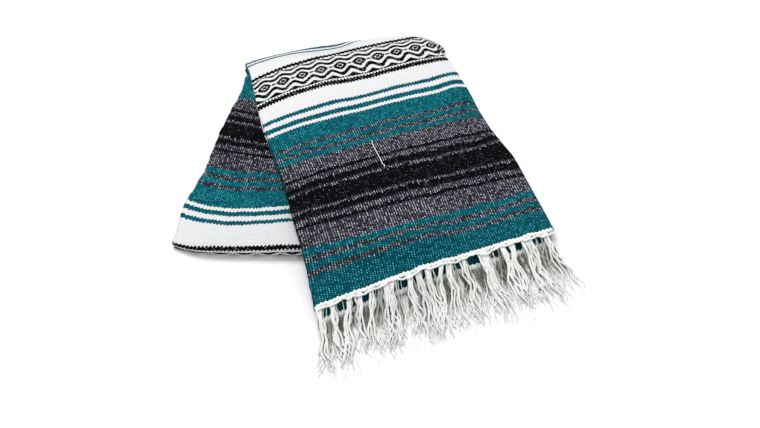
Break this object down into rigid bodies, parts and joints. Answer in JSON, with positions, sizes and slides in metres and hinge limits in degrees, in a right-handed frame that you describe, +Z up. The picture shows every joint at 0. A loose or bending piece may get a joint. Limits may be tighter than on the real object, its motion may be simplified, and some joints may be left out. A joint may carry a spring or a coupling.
{
  "type": "folded mexican falsa blanket",
  "caption": "Woven striped blanket with fringed ends, folded into a flat strip and then folded once across, lying on a surface.",
  "frame": {"origin": "on the surface it lies on, under the middle of the laid outline", "axes": "+Z up from the surface; the fringed ends point towards -Y; +X to the right as seen from the fringed ends"},
  "size_m": [0.5312, 0.6826, 0.0363],
  "materials": {
    "striped_cloth": "coarse weft-faced weave with teal, grey, black and white stripes, matte",
    "fringe_yarn": "soft loosely spun off-white yarn, matte"
  },
  "bodies": {
    "root": {"upper_layer": "striped_cloth", "lower_layer": "striped_cloth", "inner_layers": "striped_cloth", "second_end": "striped_cloth", "first_fringe": "fringe_yarn", "second_fringe": "fringe_yarn"}
  },
  "joints": []
}
